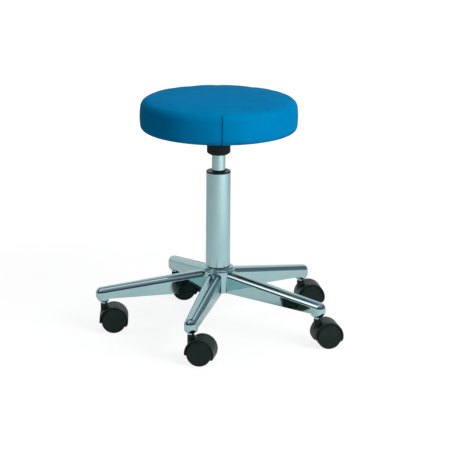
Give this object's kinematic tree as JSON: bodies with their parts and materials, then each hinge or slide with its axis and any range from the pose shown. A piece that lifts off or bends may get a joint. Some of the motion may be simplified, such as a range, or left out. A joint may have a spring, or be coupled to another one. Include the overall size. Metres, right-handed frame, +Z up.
{
  "type": "dentist stool",
  "caption": "Height-adjustable swivel stool with a round padded seat on a gas lift, a chrome five-arm star base and hooded twin-wheel casters.",
  "frame": {"origin": "on the floor, on the column's axis", "axes": "+Z up along the column; -Y along the front arm; +Y towards the height lever"},
  "size_m": [0.5163, 0.4894, 0.485],
  "materials": {
    "vinyl": "blue upholstery vinyl, satin, fine leather grain",
    "foam": "cut polyurethane foam",
    "plywood": "bare birch plywood",
    "staples": "galvanised wire",
    "zinc_steel": "zinc-plated steel",
    "black_steel": "black powder coat, fine texture",
    "chrome": "mirror-polished chrome plate",
    "black_rubber": "matte black rubber",
    "black_nylon": "moulded black nylon, fine texture",
    "black_bush": "moulded black acetal, smooth",
    "steel": "bright turned steel"
  },
  "bodies": {
    "base": {"column_tube": "chrome", "guide_bush": "black_bush", "column_bottom_plate": "zinc_steel", "lower_thrust_washer": "steel", "thrust_balls": "steel", "ball_cage": "steel", "base_hub": "chrome", "arm_1": "chrome", "arm_2": "chrome", "arm_3": "chrome", "arm_4": "chrome", "arm_5": "chrome", "caster_sockets": "chrome", "caster_stems": "steel", "grip_rings": "zinc_steel"},
    "lift_rod": {"piston_rod": "steel", "piston": "steel", "piston_seal": "black_rubber", "rod_clip": "zinc_steel", "upper_thrust_washer": "steel", "rod_bumper": "black_rubber"},
    "seat": {"seat_cover": "vinyl", "seat_foam": "foam", "seat_board": "plywood", "cover_staples": "staples", "tee_nuts": "zinc_steel", "seat_plate": "black_steel", "plate_bolts": "zinc_steel", "bolt_washers": "zinc_steel", "taper_hub": "black_steel", "bump_collar": "black_rubber", "lever_bracket": "black_steel", "lever_pin": "zinc_steel", "gas_cylinder": "chrome", "valve_body": "steel", "rod_guide": "steel"},
    "lever": {"lever_rod": "black_steel", "lever_grip": "black_nylon"},
    "valve": {"valve_pin": "steel"},
    "caster_1": {"caster_hood_1": "black_nylon", "caster_axle_1": "steel"},
    "wheel_1_left": {"wheel_1_left": "black_nylon"},
    "wheel_1_right": {"wheel_1_right": "black_nylon"},
    "caster_2": {"caster_hood_2": "black_nylon", "caster_axle_2": "steel"},
    "wheel_2_left": {"wheel_2_left": "black_nylon"},
    "wheel_2_right": {"wheel_2_right": "black_nylon"},
    "caster_3": {"caster_hood_3": "black_nylon", "caster_axle_3": "steel"},
    "wheel_3_left": {"wheel_3_left": "black_nylon"},
    "wheel_3_right": {"wheel_3_right": "black_nylon"},
    "caster_4": {"caster_hood_4": "black_nylon", "caster_axle_4": "steel"},
    "wheel_4_left": {"wheel_4_left": "black_nylon"},
    "wheel_4_right": {"wheel_4_right": "black_nylon"},
    "caster_5": {"caster_hood_5": "black_nylon", "caster_axle_5": "steel"},
    "wheel_5_left": {"wheel_5_left": "black_nylon"},
    "wheel_5_right": {"wheel_5_right": "black_nylon"}
  },
  "joints": [
    {"name": "seat_swivel", "type": "hinge", "parent": "base", "child": "lift_rod", "pos_m": [0, 0, 0.0935], "axis": [0, 0, 1], "continuous": true},
    {"name": "seat_lift", "type": "slide", "parent": "lift_rod", "child": "seat", "axis": [0, 0, 1], "range_m": [-0.032, 0.1]},
    {"name": "lever_lift", "type": "hinge", "parent": "seat", "child": "lever", "pos_m": [0, 0.038, 0.411], "axis": [1, 0, 0], "range_deg": [0, 5], "stiffness_Nm_per_rad": 6, "springref_deg": -2.86},
    {"name": "valve_press", "type": "slide", "parent": "seat", "child": "valve", "axis": [0, 0, -1], "range_m": [0, 0.0034]},
    {"name": "caster_1_swivel", "type": "hinge", "parent": "base", "child": "caster_1", "pos_m": [0, -0.234, 0.05], "axis": [0, 0, 1], "continuous": true},
    {"name": "wheel_1_left_spin", "type": "hinge", "parent": "caster_1", "child": "wheel_1_left", "pos_m": [0.01999, -0.23344, 0.025], "axis": [-0.0279, 0.9996, 0], "continuous": true},
    {"name": "wheel_1_right_spin", "type": "hinge", "parent": "caster_1", "child": "wheel_1_right", "pos_m": [0.01999, -0.23344, 0.025], "axis": [-0.0279, 0.9996, 0], "continuous": true},
    {"name": "caster_2_swivel", "type": "hinge", "parent": "base", "child": "caster_2", "pos_m": [0.22255, -0.07231, 0.05], "axis": [0, 0, 1], "continuous": true},
    {"name": "wheel_2_left_spin", "type": "hinge", "parent": "caster_2", "child": "wheel_2_left", "pos_m": [0.24073, -0.06398, 0.025], "axis": [-0.4163, 0.9092, 0], "continuous": true},
    {"name": "wheel_2_right_spin", "type": "hinge", "parent": "caster_2", "child": "wheel_2_right", "pos_m": [0.24073, -0.06398, 0.025], "axis": [-0.4163, 0.9092, 0], "continuous": true},
    {"name": "caster_3_swivel", "type": "hinge", "parent": "base", "child": "caster_3", "pos_m": [0.13754, 0.18931, 0.05], "axis": [0, 0, 1], "continuous": true},
    {"name": "wheel_3_left_spin", "type": "hinge", "parent": "caster_3", "child": "wheel_3_left", "pos_m": [0.15614, 0.19667, 0.025], "axis": [-0.3681, 0.9298, 0], "continuous": true},
    {"name": "wheel_3_right_spin", "type": "hinge", "parent": "caster_3", "child": "wheel_3_right", "pos_m": [0.15614, 0.19667, 0.025], "axis": [-0.3681, 0.9298, 0], "continuous": true},
    {"name": "caster_4_swivel", "type": "hinge", "parent": "base", "child": "caster_4", "pos_m": [-0.13754, 0.18931, 0.05], "axis": [0, 0, 1], "continuous": true},
    {"name": "wheel_4_left_spin", "type": "hinge", "parent": "caster_4", "child": "wheel_4_left", "pos_m": [-0.11802, 0.19367, 0.025], "axis": [-0.2181, 0.9759, 0], "continuous": true},
    {"name": "wheel_4_right_spin", "type": "hinge", "parent": "caster_4", "child": "wheel_4_right", "pos_m": [-0.11802, 0.19367, 0.025], "axis": [-0.2181, 0.9759, 0], "continuous": true},
    {"name": "caster_5_swivel", "type": "hinge", "parent": "base", "child": "caster_5", "pos_m": [-0.22255, -0.07231, 0.05], "axis": [0, 0, 1], "continuous": true},
    {"name": "wheel_5_left_spin", "type": "hinge", "parent": "caster_5", "child": "wheel_5_left", "pos_m": [-0.20319, -0.06727, 0.025], "axis": [-0.2521, 0.9677, 0], "continuous": true},
    {"name": "wheel_5_right_spin", "type": "hinge", "parent": "caster_5", "child": "wheel_5_right", "pos_m": [-0.20319, -0.06727, 0.025], "axis": [-0.2521, 0.9677, 0], "continuous": true}
  ],
  "couplings": [
    {"joint": "valve_press", "follows": "lever_lift", "m_per_rad": 0.038}
  ]
}
